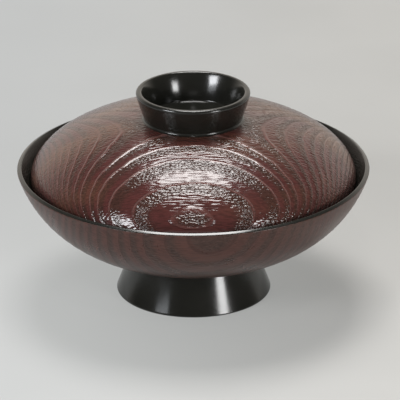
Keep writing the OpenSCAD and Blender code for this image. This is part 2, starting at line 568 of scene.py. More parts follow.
class Graph:
    """Adds nodes to a node tree and links them."""

    def __init__(self, tree: bpy.types.NodeTree) -> None:
        """Keeps the tree that the nodes go into."""
        self.tree = tree

    def feed(self, node: bpy.types.Node, inputs: dict[str | int, Value]) -> None:
        """Fills the inputs of a node.

        Args:
            node: The node.
            inputs: Sockets to link or values to set, by the input's name or number.
        """
        for key, value in inputs.items():
            if isinstance(value, Socket):
                self.tree.links.new(value, node.inputs[key])
            else:
                node.inputs[key].default_value = value

    def add(
        self, kind: str, inputs: dict[str | int, Value] | None = None, **settings: object
    ) -> bpy.types.Node:
        """Adds a node.

        Args:
            kind: Blender's name of the node's type.
            inputs: Sockets to link or values to set, by the input's name or number.
            **settings: Its other settings.

        Returns:
            The node.
        """
        node = self.tree.nodes.new(kind)
        for name, value in settings.items():
            setattr(node, name, value)
        self.feed(node, inputs or {})
        return node

    def math(self, operation: str, *values: Value) -> Socket:
        """Adds a Math node and returns its result."""
        return self.add("ShaderNodeMath", dict(enumerate(values)), operation=operation).outputs[0]

    def times(self, *values: Value) -> Socket:
        """Multiplies values by each other and returns the result."""
        return reduce(lambda product, value: self.math("MULTIPLY", product, value), values)

    def step(
        self, value: Value, low: Value, high: Value, bottom: float = 0.0, top: float = 1.0
    ) -> Socket:
        """Adds a smooth step.

        Args:
            value: The value that is read.
            low: Where the step starts.
            high: Where the step ends.
            bottom: The result before the step.
            top: The result after the step.

        Returns:
            The result's socket.
        """
        return self.remap(value, (low, high), (bottom, top), Easing.SMOOTH)

    def remap(
        self, value: Value, span: tuple[Value, Value], results: tuple[Value, Value], easing: Easing
    ) -> Socket:
        """Maps a span of values to a span of results.

        Args:
            value: The value that is read.
            span: The values where the change starts and ends.
            results: The results before and after the change.
            easing: How it runs between them.

        Returns:
            The result's socket.
        """
        inputs = dict(enumerate((value, *span, *results)))
        kind = "ShaderNodeMapRange"
        return self.add(kind, inputs, interpolation_type=easing.value).outputs[0]

    def mix(self, factor: Value, first: Value, second: Value) -> Socket:
        """Adds a colour mix and returns its result."""
        inputs = {0: factor, MIX_FIRST: first, MIX_SECOND: second}
        return self.add("ShaderNodeMix", inputs, data_type="RGBA").outputs[MIX_RESULT]

    def noise(self, place: Socket, pattern: Pattern) -> Socket:
        """Adds a noise texture.

        Args:
            place: Where it is read.
            pattern: Its sizes.

        Returns:
            Its value, from 0 to 1.
        """
        inputs = {0: place, 1: (pattern.along, 1, 1)}
        stretched = self.add("ShaderNodeVectorMath", inputs, operation="MULTIPLY").outputs[0]
        inputs = {
            "Vector": stretched, "Scale": pattern.scale, "Detail": pattern.detail,
            "Roughness": pattern.rough,
        }
        return self.add("ShaderNodeTexNoise", inputs).outputs[0]

    def patches(self, place: Socket, pattern: Pattern) -> Socket:
        """Adds a noise texture and returns a mask of its patches."""
        return self.step(self.noise(place, pattern), *pattern.span)

    def fade(self, axes: bpy.types.NodeOutputs, fade: Fade) -> Socket:
        """Adds a fade across the part.

        Args:
            axes: The outputs of the node that separates a place into its axes.
            fade: The fade.

        Returns:
            Its value.
        """
        value = axes[fade.axis]
        if fade.both_ways:
            value = self.math("ABSOLUTE", value)
        return self.step(value, *fade.span, *fade.values)


def open_group(name: str, inputs: dict[str, str]) -> tuple[Graph, list[Socket]]:
    """Starts a shader node group.

    Args:
        name: Name of the group.
        inputs: Socket types of its inputs, by name.

    Returns:
        The group's graph and the sockets that its inputs come in by.
    """
    tree = bpy.data.node_groups.new(name, "ShaderNodeTree")
    for label, kind in inputs.items():
        tree.interface.new_socket(name=label, in_out="INPUT", socket_type=kind)
    graph = Graph(tree)
    return graph, list(graph.add("NodeGroupInput").outputs)[:len(inputs)]


def close_group(graph: Graph, outputs: dict[str, Socket]) -> bpy.types.NodeTree:
    """Gives a shader node group its outputs.

    Args:
        graph: The group's graph.
        outputs: What its outputs give, by name.

    Returns:
        The group.
    """
    for label in outputs:
        graph.tree.interface.new_socket(name=label, in_out="OUTPUT", socket_type=FLOAT)
    graph.add("NodeGroupOutput", outputs)
    return graph.tree


# Node groups

PORES = Pattern(scale=1500.0, detail=1.0, along=0.55, span=(0.48, 0.36))
FIBRES = Pattern(scale=1500.0, detail=0.0, along=0.17, span=(0.3, 0.62))
CLOUDS = Pattern(scale=90.0, detail=3.0, rough=0.6)
RUBBING = Pattern(scale=1400.0, detail=2.0)
WAVES = Pattern(scale=60.0, detail=1.0)
# Share of the clouds in the unevenness of the gloss, beside the finer rubbing
CLOUD_SHARE = 0.75
# That unevenness, where the gloss is at its lowest and at its highest roughness
GLOSS_SPAN = (0.35, 0.65)
# Where the early wood ends, as a multiple of the share where it starts to end
EARLY_END = 1.9
# Width of a growth line's side towards the older wood, as a share of its other side
OLD_SIDE_SHARE = 0.5
# Depth of the early wood, as a share of the height of a growth line
EARLY_DEPTH_SHARE = 0.2


def growth_group() -> bpy.types.NodeTree:
    """Makes the group that reads a year as early wood, late wood and growth line.

    Returns:
        A group with the inputs Year, Ring, Edge and Early Share, and the outputs Early, Line
        and Height, where Height is 1 on the ridge along each growth line.
    """
    names = ("Year", "Ring", "Edge", "Early Share")
    graph, (year, ring, edge, early_share) = open_group("growth_rings", dict.fromkeys(names, FLOAT))
    share = graph.math("FRACT", year)
    after = graph.times(share, ring)
    before = graph.math("SUBTRACT", ring, after)
    ended = graph.step(share, early_share, graph.times(early_share, EARLY_END), 1.0, 0.0)
    early = graph.times(graph.step(after, 0.0, edge), ended)
    old_side = graph.step(before, 0.0, graph.times(edge, OLD_SIDE_SHARE), 1.0, 0.0)
    line = graph.math("MAXIMUM", old_side, graph.step(after, 0.0, edge, 1.0, 0.0))
    height = graph.math("SUBTRACT", line, graph.times(early, EARLY_DEPTH_SHARE))
    return close_group(graph, {"Early": early, "Line": line, "Height": height})


def grain_group() -> bpy.types.NodeTree:
    """Makes the group that gives pores and fibres, drawn out along X.

    Returns:
        A group with the inputs Place, Early, Pore Depth and Fibre Depth, and the outputs Pores,
        Fibres and Height, where Height is in metres.
    """
    inputs = {"Place": VECTOR, "Early": FLOAT, "Pore Depth": FLOAT, "Fibre Depth": FLOAT}
    graph, (place, early, pore_depth, fibre_depth) = open_group("open_grain", inputs)
    pits = graph.noise(place, PORES)
    fibres = graph.noise(place, FIBRES)
    pores = graph.times(graph.step(pits, *PORES.span), early)
    pit_height = graph.times(pits, pore_depth, early)
    height = graph.math("ADD", pit_height, graph.times(fibres, fibre_depth))
    return close_group(graph, {"Pores": pores, "Fibres": fibres, "Height": height})


def polish_group() -> bpy.types.NodeTree:
    """Makes the group for hand-polished lacquer: cloudy gloss and a slight waviness.

    Returns:
        A group with the inputs Place, Gloss Low and Gloss High, and the outputs Roughness and
        Height, where Height runs from 0 to 1.
    """
    inputs = {"Place": VECTOR, "Gloss Low": FLOAT, "Gloss High": FLOAT}
    graph, (place, low, high) = open_group("hand_polish", inputs)
    clouds = graph.times(graph.noise(place, CLOUDS), CLOUD_SHARE)
    rubbing = graph.times(graph.noise(place, RUBBING), 1 - CLOUD_SHARE)
    blend = graph.math("ADD", clouds, rubbing)
    roughness = graph.remap(blend, GLOSS_SPAN, (low, high), Easing.STRAIGHT)
    return close_group(graph, {"Roughness": roughness, "Height": graph.noise(place, WAVES)})


@dataclass(frozen=True)
class Workshop:
    """The node groups that the finishes share.

    Attributes:
        growth: Reads a year as early wood, late wood and growth line.
        grain: Gives pores and fibres.
        polish: Gives cloudy gloss and waviness.
    """

    growth: bpy.types.NodeTree = field(default_factory=growth_group)
    grain: bpy.types.NodeTree = field(default_factory=grain_group)
    polish: bpy.types.NodeTree = field(default_factory=polish_group)


# Finishes

LACQUER_IOR = 1.52
DRIFT = Pattern(scale=45.0, detail=3.0, along=0.5, span=(0.42, 0.68))
BLOOM = Pattern(scale=70.0, detail=3.0, span=(0.35, 0.7))
FIBRE_DARKNESS = 0.35
PORE_DARKNESS = 0.5
# How much the paler wood shows, from front to back
CLOUD_FADE = Fade(Axis.Y, (-0.03, 0.015), (0.4, 0.9))
# How much the growth lines stand out: towards the back, both sides and the front
BACK_FADE = Fade(Axis.Y, (-0.018, -0.002), (1.0, 0.12))
SIDE_FADE = Fade(Axis.X, (0.018, 0.045), (1.0, 0.4), both_ways=True)
FRONT_FADE = Fade(Axis.Y, (-0.057, -0.045), (0.35, 1.0))
# How much smoother the grain is on a growth line, behind the eye of the figure at the front
LINE_CALM = Fade(Axis.Y, (-0.056, -0.047), (0.0, 0.9))
# How high the grain stands on the left, as a share of the rest
LEFT_CALM = Fade(Axis.X, (-0.032, -0.014), (0.5, 1.0))
# How much rougher the early wood is in the eye, by the width and the depth of the eye
EYE_WIDTH = Fade(Axis.X, (0.02, 0.025), (1.2, 0.0), both_ways=True)
EYE_DEPTH = Fade(Axis.Y, (-0.0555, -0.051), (1.0, 0.0))


def new_material(name: str) -> tuple[Graph, bpy.types.Node, bpy.types.Material]:
    """Starts a material with a Principled shader.

    Args:
        name: Name of the material.

    Returns:
        The material's graph, its Principled node and the material.
    """
    material = bpy.data.materials.new(name)
    material.use_nodes = True
    return Graph(material.node_tree), material.node_tree.nodes["Principled BSDF"], material


@dataclass(frozen=True)
class Lacquer:
    """What every lacquer has.

    Attributes:
        name: Name of the material.
        gloss: Lowest and highest roughness.
        specular: Strength of the lacquer's shine.
    """

    name: str
    gloss: tuple[float, float]
    specular: float

    def surface(
        self, graph: Graph, place: Socket, waves: Socket, workshop: Workshop
    ) -> tuple[Socket, Socket]:
        """Adds the nodes of the surface.

        Args:
            graph: The material's graph.
            place: Place in the part.
            waves: Waviness of the polish, from 0 to 1.
            workshop: The shared node groups.

        Returns:
            The surface's colour, and its height in metres.
        """
        raise NotImplementedError

    def material(self, workshop: Workshop) -> bpy.types.Material:
        """Builds the material.

        Args:
            workshop: The shared node groups.

        Returns:
            The material.
        """
        graph, shader, material = new_material(self.name)
        place = graph.add("ShaderNodeTexCoord").outputs["Object"]
        inputs = {"Place": place, "Gloss Low": self.gloss[0], "Gloss High": self.gloss[1]}
        polish = graph.add("ShaderNodeGroup", inputs, node_tree=workshop.polish).outputs
        colour, height = self.surface(graph, place, polish["Height"], workshop)
        bump = graph.add("ShaderNodeBump", {"Strength": 1.0, "Distance": 1.0, "Height": height})
        graph.feed(shader, {
            "Base Color": colour,
            "Roughness": polish["Roughness"],
            "IOR": LACQUER_IOR,
            "Specular IOR Level": self.specular,
            "Normal": bump.outputs[0],
        })
        return material


@dataclass(frozen=True)
class WoodLacquer(Lacquer):
    """Transparent lacquer wiped into open-grained wood.

    Attributes:
        late: Colour of the dense late wood.
        early: Colour of the porous early wood.
        line: Colour of the growth lines.
        pore: Colour inside the pores.
        cloud: Colour that the wood drifts to in places.
        relief: The relief that goes with it.
        early_share: Share of a ring that is early wood.
        line_width: Width of a growth line's side towards the younger wood, across the rings.
        line_height: Height of the ridge along each growth line.
        pore_depth: Depth of the pores.
        fibre_depth: Height of the waves between the fibres.
    """

    late: Colour
    early: Colour
    line: Colour
    pore: Colour
    cloud: Colour
    relief: WoodRelief
    early_share: float
    line_width: float
    line_height: float
    pore_depth: float
    fibre_depth: float

    def surface(
        self, graph: Graph, place: Socket, waves: Socket, workshop: Workshop
    ) -> tuple[Socket, Socket]:
        """Adds the nodes of the wood, whose grain takes the place of the polish's waves.

        Args:
            graph: The material's graph.
            place: Place in the part.
            waves: Waviness of the polish, which wiped lacquer doesn't have.
            workshop: The shared node groups.

        Returns:
            The surface's colour, and its height in metres.
        """
        year, ring = (
            graph.add("ShaderNodeAttribute", attribute_name=name).outputs["Fac"]
            for name in ("year", "ring")
        )
        inputs = {"Year": year, "Ring": ring, "Edge": self.line_width, "Early Share": self.early_share}
        growth = graph.add("ShaderNodeGroup", inputs, node_tree=workshop.growth).outputs
        early, line = growth["Early"], growth["Line"]
        inputs = {
            "Place": place,
            "Early": early,
            "Pore Depth": self.pore_depth,
            "Fibre Depth": self.fibre_depth,
        }
        grain = graph.add("ShaderNodeGroup", inputs, node_tree=workshop.grain).outputs

        axes = graph.add("ShaderNodeSeparateXYZ", {0: place}).outputs
        far_fade = graph.times(graph.fade(axes, BACK_FADE), graph.fade(axes, SIDE_FADE))
        shown = graph.times(far_fade, graph.fade(axes, FRONT_FADE))
        cloudy = graph.times(graph.patches(place, DRIFT), graph.fade(axes, CLOUD_FADE))
        fibre_dark = graph.step(grain["Fibres"], *FIBRES.span, FIBRE_DARKNESS, 0.0)
        colour = self.late
        for mask, tint in (
            (early, self.early),
            (cloudy, self.cloud),
            (graph.times(line, line, shown), self.line),
            (fibre_dark, self.pore),
            (graph.times(grain["Pores"], PORE_DARKNESS), self.pore),
        ):
            colour = graph.mix(mask, colour, tint)

        ridge = graph.times(growth["Height"], far_fade, self.line_height)
        line_calm = graph.math("SUBTRACT", 1.0, graph.times(line, graph.fade(axes, LINE_CALM)))
        eye = graph.times(graph.fade(axes, EYE_WIDTH), graph.fade(axes, EYE_DEPTH), early)
        roughening = graph.math("ADD", eye, 1.0)
        rough = graph.times(line_calm, graph.fade(axes, LEFT_CALM), roughening)
        return colour, graph.math("ADD", ridge, graph.times(grain["Height"], rough))


@dataclass(frozen=True)
class BlackLacquer(Lacquer):
    """Black lacquer, built up and polished by hand.

    Attributes:
        colour: Colour of the lacquer.
        bloom: Colour that it drifts to in places.
        wave: Height of the slight waviness.
    """

    colour: Colour
    bloom: Colour
    wave: float

    def surface(
        self, graph: Graph, place: Socket, waves: Socket, workshop: Workshop
    ) -> tuple[Socket, Socket]:
        """Adds the nodes of the plain coat.

        Args:
            graph: The material's graph.
            place: Place in the part.
            waves: Waviness of the polish, from 0 to 1.
            workshop: The shared node groups, of which the coat needs no more.

        Returns:
            The surface's colour, and its height in metres.
        """
        colour = graph.mix(graph.patches(place, BLOOM), self.colour, self.bloom)
        return colour, graph.times(waves, self.wave)


RED_LACQUER = WoodLacquer(
    name="red_wiped_lacquer",
    gloss=(0.11, 0.18),
    specular=0.44,
    late=(0.075, 0.023, 0.021, 1),
    early=(0.054, 0.023, 0.018, 1),
    line=(0.17, 0.08, 0.07, 1),
    pore=(0.022, 0.011, 0.009, 1),
    cloud=(0.12, 0.056, 0.032, 1),
    relief=WoodRelief(depth=0.00005),
    early_share=0.36,
    line_width=0.00025,
    line_height=0.0003,
    pore_depth=0.00028,
    fibre_depth=0.0002,
)
BROWN_LACQUER = WoodLacquer(
    name="brown_wiped_lacquer",
    gloss=(0.26, 0.38),
    specular=0.22,
    late=(0.084, 0.037, 0.029, 1),
    early=(0.062, 0.034, 0.027, 1),
    line=(0.012, 0.006, 0.005, 1),
    pore=(0.02, 0.011, 0.009, 1),
    cloud=(0.087, 0.051, 0.04, 1),
    relief=WoodRelief(depth=0.00006),
    early_share=0.34,
    line_width=0.00024,
    line_height=0.00005,
    pore_depth=0.00008,
    fibre_depth=0.00005,
)
BLACK_LACQUER = BlackLacquer(
    name="black_polished_lacquer",
    gloss=(0.13, 0.2),
    specular=0.5,
    colour=(0.0105, 0.0108, 0.0088, 1),
    bloom=(0.014, 0.014, 0.0118, 1),
    wave=0.000012,
)


# Pieces

# Steps along the curves of the outlines
FLOOR_STEPS = 14
SIDE_STEPS = 30
SEAT_STEPS = 10
LIP_INNER_STEPS = 8
LIP_OUTER_STEPS = 5
SHOULDER_STEPS = 6
FLARE_STEPS = 40
FOOT_ROUND_STEPS = 6
RECESS_STEPS = 12
VAULT_STEPS = 40
EDGE_STEPS = 14
BOSS_STEPS = 4
KNOB_FILLET_STEPS = 8
KNOB_FLARE_STEPS = 36
KNOB_LIP_STEPS = 10
BORE_STEPS = 24
BORE_FILLET_STEPS = 14
KNOB_FLOOR_STEPS = 16
# The wood under a coat takes every third point of the coat's path
WOOD_STRIDE = 3


def dress_pieces(
    body: Body, pieces: dict[str, tuple[bpy.types.Object, Slot]], materials: Materials
) -> None:
    """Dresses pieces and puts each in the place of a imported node.

    Args:
        body: The body that they move with.
        pieces: Each piece and its slot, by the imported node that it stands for.
        materials: The material of each slot.
    """
    for node, (piece, slot) in pieces.items():
        piece.data.materials.append(materials[slot])
        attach(piece, body.value)
        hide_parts(node)
        log.info("%s stands for %s, %d faces", piece.name, node, len(piece.data.polygons))


@dataclass
class Bowl:
    """The bowl with its foot.

    Attributes:
        rim_radius: Outer radius at the rim.
        rim_height: Height of the rim.
        foot_radius: Outer radius of the foot on the table.
        foot_height: Height of the face that the foot is glued to.
        spigot_radius: Radius of the bowl's spigot inside the foot.
        spigot_end: Height of the spigot's end.
        lip_radius: Half of the lip's thickness.
        lip_round: Radius of the lip's two roundings.
        lip_slope: Slope of the bevel between them, outwards and down, in degrees.
        coat_edge: Where on the outer rounding the black lacquer ends, in degrees above level.
        floor_wall: Wall above the spigot's end.
        side_wall: Wall from the foot up to the lid's seat.
        coat: Thickness of the black lacquer.
        foot_top_radius: Outer radius of the foot where it meets the bowl.
        foot_wall: Wall of the foot at the table.
        glue_gap: Glue line between the spigot and the foot.
        rim_slope: Slope of the outer wall at the rim, in degrees.
        seat_slope: Slope of the inner wall that the lid rests on, in degrees.
        belly_slope: Slope of the outer wall at the foot, in degrees.
        seat_depth: Height of the straight wall below the lip, which the lid rests on.
        outer_pull_shares: Pulls of the outer wall's curve.
        floor_pull_shares: Pulls of the floor's curve.
        seat_pull_shares: Pulls of the curve from the side to the seat.
        side_shares: The stretch of the outer wall that the inner wall runs beside.
        flare_shares: Depth below its top and width where the foot's flare bends.
        foot_round: Radius of the foot's two roundings on the table.
        recess_fillet: Radius of the fillet inside the foot.
        recess_ledge: Width of the foot's ledge beside the spigot.
        wall_rows: Rows of faces up the outer wall.
        fade_rows: Rows over which the relief fades in and out.
        segments: Segments of the shell's full turn.
        timber: How the shell's wood grew.
    """

    rim_radius: float
    rim_height: float
    foot_radius: float
    foot_height: float
    spigot_radius: float
    spigot_end: float
    lip_radius: float = 0.001
    lip_round: float = 0.0005
    lip_slope: float = 24.0
    coat_edge: float = 30.0
    floor_wall: float = 0.0039
    side_wall: float = 0.0031
    coat: float = 0.0004
    foot_top_radius: float = 0.0247
    foot_wall: float = 0.0023
    glue_gap: float = 0.0001
    rim_slope: float = 71.0
    seat_slope: float = 59.0
    belly_slope: float = 13.0
    seat_depth: float = 0.0072
    outer_pull_shares: tuple[float, float] = (0.37, 0.385)
    floor_pull_shares: tuple[float, float] = (0.4, 0.27)
    seat_pull_shares: tuple[float, float] = (0.33, 0.33)
    side_shares: tuple[float, float] = (0.0, 0.72)
    flare_shares: tuple[float, float] = (0.45, 0.36)
    foot_round: float = 0.0005
    recess_fillet: float = 0.0022
    recess_ledge: float = 0.0015
    wall_rows: int = 118
    fade_rows: tuple[int, int] = (3, 3)
    segments: int = 640
    timber: Timber = Timber(
        pith=(-0.0007, 0.0703),
        lean=(0.1, -0.078),
        stretch=2.6,
        ring_radii=(0.0592, 0.061, 0.0629, 0.0646, 0.0662, 0.0683, 0.0697, 0.0715),
        inner_ring=0.0018,
        outer_ring=0.0019,
        waver=(0.0007, 0.0001),
        seed=7.3,
    )

    @classmethod
    def from_frame(cls) -> "Bowl":
        """Takes the bowl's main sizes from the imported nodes.

        Returns:
            The bowl.
        """
        lining_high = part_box("bowl_lining")[1]
        core_low, core_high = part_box("bowl_core")
        foot_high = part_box("foot_ring")[1]
        recess_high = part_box("foot_recess_coat")[1]
        return cls(
            rim_radius=core_high.x,
            rim_height=lining_high.z,
            foot_radius=foot_high.x,
            foot_height=foot_high.z,
            spigot_radius=recess_high.x,
            spigot_end=core_low.z,
        )

    @property
    def bead(self) -> Vector:
        """Middle of the lip."""
        return Vector((self.rim_radius - self.lip_radius, self.rim_height - self.lip_radius))

    @property
    def lip_centres(self) -> tuple[Vector, Vector]:
        """Finds the centres of the lip's roundings.

        Returns:
            The inner and the outer centre.
        """
        reach = self.lip_radius - self.lip_round
        lean = math.tan(math.radians(self.seat_slope) / 2)
        drop = (1 + lean) * math.tan(math.radians(self.lip_slope))
        inner = self.bead + Vector((-lean, 1.0)) * reach
        return inner, self.bead + Vector((1.0, 1 - drop)) * reach

    def outer_wall(self) -> WallCurve:
        """Draws the outer wall.

        Returns:
            Its curve, from the foot to the lip.
        """
        end = self.lip_centres[1] + heading(self.rim_slope - QUARTER_TURN) * self.lip_round
        ends = (Vector((self.foot_top_radius, self.foot_height)), end)
        headings = (heading(self.belly_slope), heading(self.rim_slope))
        return WallCurve.between(ends, headings, self.outer_pull_shares)

    def lining_path(self, depth: float) -> Outline:
        """Runs over the inside and the lip to the edge of the black lacquer.

        Args:
            depth: How far below the lacquered face the path runs.

        Returns:
            The points of the path.
        """
        outer = self.outer_wall()
        low, high = self.side_shares
        floor = WallCurve.between(
            (Vector((0.0, self.spigot_end + self.floor_wall)), outer.side(low, -self.side_wall)),
            (heading(0), outer.heading(low)),
            self.floor_pull_shares,
        )
        across_seat = self.seat_slope + QUARTER_TURN
        seat_top = self.bead + heading(across_seat) * self.lip_radius
        seat_run = self.seat_depth / math.sin(math.radians(self.seat_slope))
        seat = WallCurve.between(
            (outer.side(high, -self.side_wall), seat_top - heading(self.seat_slope) * seat_run),
            (outer.heading(high), heading(self.seat_slope)),
            self.seat_pull_shares,
        )
        path = floor.path(FLOOR_STEPS, depth)
        path += outer.path(SIDE_STEPS, depth - self.side_wall, self.side_shares)[1:]
        path += seat.path(SEAT_STEPS, depth)[1:]
        inner, outer_centre = self.lip_centres
        bevel = QUARTER_TURN - self.lip_slope
        round_radius = self.lip_round - depth
        path += arc(inner, round_radius, across_seat, bevel, LIP_INNER_STEPS)
        return path + arc(outer_centre, round_radius, bevel, self.coat_edge, LIP_OUTER_STEPS)

    def build_shell(self, relief: WoodRelief) -> bpy.types.Object:
        """Turns the wooden shell.

        Args:
            relief: The relief of its outer wall.

        Returns:
            The piece.
        """
        spigot = [
            Vector((0.0, self.spigot_end)),
            Vector((self.spigot_radius, self.spigot_end)),
            Vector((self.spigot_radius, self.foot_height)),
        ]
        wall = self.outer_wall().path(self.wall_rows)
        centre = self.lip_centres[1]
        start = self.rim_slope - QUARTER_TURN
        shoulder = arc(centre, self.lip_round, start, self.coat_edge, SHOULDER_STEPS)[1:]
        path = self.lining_path(self.coat)[::-1]
        inside = path[:1] + path[1::WOOD_STRIDE]
        fades = faded(self.wall_rows, *self.fade_rows)
        shares = [0.0] * len(spigot) + fades + [0.0] * (len(shoulder) + len(inside))
        outline = spigot + wall + shoulder + inside
        return turn_wood("bowl_shell", outline, shares, self.segments, self.timber, relief)

    def build_lining(self) -> bpy.types.Object:
        """Turns the black lacquer inside the bowl and over its lip."""
        outline = self.lining_path(0.0) + self.lining_path(self.coat)[::-1]
        return turn_piece("bowl_black_lining", outline, LINING_SEGMENTS)

    def build_foot(self) -> bpy.types.Object:
        """Turns the flared foot ring.

        Returns:
            The piece.
        """
        socket = self.spigot_radius + self.glue_gap
        recess = self.spigot_end - self.coat
        outer = Vector((self.foot_radius, 0.0))
        inner = Vector((self.foot_radius - self.foot_wall, 0.0))
        top = Vector((self.foot_top_radius, self.foot_height))
        corner = corner_between(top, outer, self.flare_shares)
        socket_low = Vector((socket, recess))
        ledge = Vector((socket + self.recess_ledge, recess))
        edge = rounded(corner, outer, inner, self.foot_round, FOOT_ROUND_STEPS)
        outline = bend(top, corner, edge[0], FLARE_STEPS) + edge
        outline += rounded(outer, inner, ledge, self.foot_round, FOOT_ROUND_STEPS)
        outline += rounded(inner, ledge, socket_low, self.recess_fillet, RECESS_STEPS)
        outline += [socket_low, Vector((socket, self.foot_height))]
        return turn_piece("foot_black_ring", outline)

    def build_recess(self) -> bpy.types.Object:
        """Turns the black lacquer on the spigot's end, up to the foot.

        Returns:
            The piece.
        """
        edge = self.spigot_radius + self.glue_gap
        low, high = self.spigot_end - self.coat, self.spigot_end
        corners = ((0.0, low), (edge, low), (edge, high), (0.0, high))
        outline = [Vector(corner) for corner in corners]
        return turn_piece("foot_recess_lacquer", outline)

    def build(self, relief: WoodRelief, materials: Materials) -> None:
        """Builds and dresses the bowl's four pieces.

        Args:
            relief: The relief of the shell's wood.
            materials: The material of each slot.
        """
        pieces = {
            "bowl_core": (self.build_shell(relief), Slot.BROWN_WOOD),
            "bowl_lining": (self.build_lining(), Slot.BLACK_COAT),
            "foot_ring": (self.build_foot(), Slot.BLACK_WOOD),
            "foot_recess_coat": (self.build_recess(), Slot.BLACK_COAT),
        }
        dress_pieces(Body.BOWL, pieces, materials)


@dataclass
class Lid:
    """The lid with its ring-shaped knob.

    Attributes:
        radius: Outer radius of the lid's edge.
        edge_low: Lowest height of the lid's edge.
        crown: Height of the lid's crown.
        knob_radius: Outer radius of the knob at its lip.
        knob_top: Height of the knob's lip.
        groove_floor: Height of the groove that holds the knob.
        boss_radius: Radius of the low boss inside the knob.
        edge_radius: Radius of the rounded edge.
        crown_wall: Wall at the crown.
        coat: Thickness of the black lacquer.
        glue_gap: Glue line between the boss and the knob.
        knob_wall: Wall of the knob on the dome.
        knob_lip: Thickness of the knob at its lip.
        knob_lip_round: Radius of the lip's two roundings.
        knob_flare_shares: Height and width where the knob's flare bends.
        knob_fillet: Size of the fillet between the knob and the dome.
        bore_bend_shares: Depth below the lip and width where the knob's inner wall bends.
        bore_fillet: Radius of the fillet at the foot of the inner wall.
        dome_rows: Rows of faces down the dome.
        fade_rows: Rows over which the relief fades in and out.
        segments: Segments of the dome's full turn.
        timber: How the dome's wood grew.
    """

    radius: float
    edge_low: float
    crown: float
    knob_radius: float
    knob_top: float
    groove_floor: float
    boss_radius: float
    edge_radius: float = 0.0011
    crown_wall: float = 0.0036
    coat: float = 0.0004
    glue_gap: float = 0.0001
    knob_wall: float = 0.0035
    knob_lip: float = 0.00225
    knob_lip_round: float = 0.00095
    knob_flare_shares: tuple[float, float] = (0.62, 0.7)
    knob_fillet: float = 0.0008
    bore_bend_shares: tuple[float, float] = (0.4, 0.6)
    bore_fillet: float = 0.0008
    dome_rows: int = 112
    fade_rows: tuple[int, int] = (3, 4)
    segments: int = 704
    timber: Timber = Timber(
        pith=(-0.0049, 0.011),
        lean=(0.0, 0.0),
        stretch=2.59,
        ring_radii=(0.0566, 0.0581, 0.0594, 0.0611, 0.0624, 0.0642, 0.0672, 0.0698, 0.0722),
        inner_ring=0.0012,
        outer_ring=0.0023,
        waver=(0.0004, 0.00012),
        seed=2.1,
    )

    @classmethod
    def from_frame(cls) -> "Lid":
        """Takes the lid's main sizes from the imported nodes.

        Returns:
            The lid.
        """
        lining_low, lining_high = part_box("lid_lining")
        knob_low, knob_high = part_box("knob_ring")
        boss_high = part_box("knob_floor_coat")[1]
        return cls(
            radius=lining_high.x,
            edge_low=lining_low.z,
            crown=boss_high.z,
            knob_radius=knob_high.x,
            knob_top=knob_high.z,
            groove_floor=knob_low.z,
            boss_radius=boss_high.x,
        )

    @property
    def edge(self) -> Vector:
        """Centre of the rounded edge."""
        return Vector((self.radius - self.edge_radius, self.edge_low + self.edge_radius))

    @property
    def rise(self) -> float:
        """Height of the crown above the edge."""
        return self.crown - self.edge.y

    @property
    def bore(self) -> float:
        """Inner radius of the knob."""
        return self.boss_radius + self.glue_gap

    @property
    def knob_base_radius(self) -> float:
        """Outer radius of the knob on the dome."""
        return self.bore + self.knob_wall

    def on_dome(self, radius: float) -> Vector:
        """Returns the point of the dome at a radius."""
        share = math.sqrt(max(1 - (radius / self.radius) ** 2, 0.0))
        return Vector((radius, self.edge.y + self.rise * share))

    def dome_path(self, span: tuple[float, float], steps: int) -> Outline:
        """Runs outwards over the dome, between two radii."""
        return ellipse((self.radius, self.rise), self.edge.y, span, steps)

    def vault_path(self, depth: float) -> Outline:
        """Runs over the lid's inside and round its edge.

        Args:
            depth: How far below the lacquered face the path runs.

        Returns:
            The points of the path.
        """
        full = self.edge.x - self.edge_radius + depth
        rise = self.rise - self.crown_wall + depth
        vault = ellipse((full, rise), self.edge.y, (0.0, full), VAULT_STEPS)
        return vault + arc(self.edge, self.edge_radius - depth, -HALF_TURN, 0.0, EDGE_STEPS)

    def build_shell(self, relief: WoodRelief) -> bpy.types.Object:
        """Turns the wooden dome.

        Args:
            relief: The relief of its outside.

        Returns:
            The piece.
        """
        boss = lowered(self.dome_path((0.0, self.boss_radius), BOSS_STEPS), self.coat)
        wide = self.knob_base_radius + self.glue_gap
        floor = [Vector((radius, self.groove_floor)) for radius in (self.boss_radius, wide)]
        hidden = boss + floor + [self.on_dome(wide)]
        skirt = self.knob_base_radius + self.knob_fillet
        dome = self.dome_path((skirt, self.radius), self.dome_rows)
        fades = faded(self.dome_rows, *self.fade_rows)
        inside = self.vault_path(self.coat)[::-1][1::WOOD_STRIDE]
        outline = hidden + dome + inside
        shares = [0.0] * len(hidden) + fades + [0.0] * len(inside)
        return turn_wood("lid_shell", outline, shares, self.segments, self.timber, relief)

    def build_lining(self) -> bpy.types.Object:
        """Turns the black lacquer inside the lid and round its edge."""
        outline = self.vault_path(0.0) + self.vault_path(self.coat)[::-1]
        return turn_piece("lid_black_lining", outline, LINING_SEGMENTS)

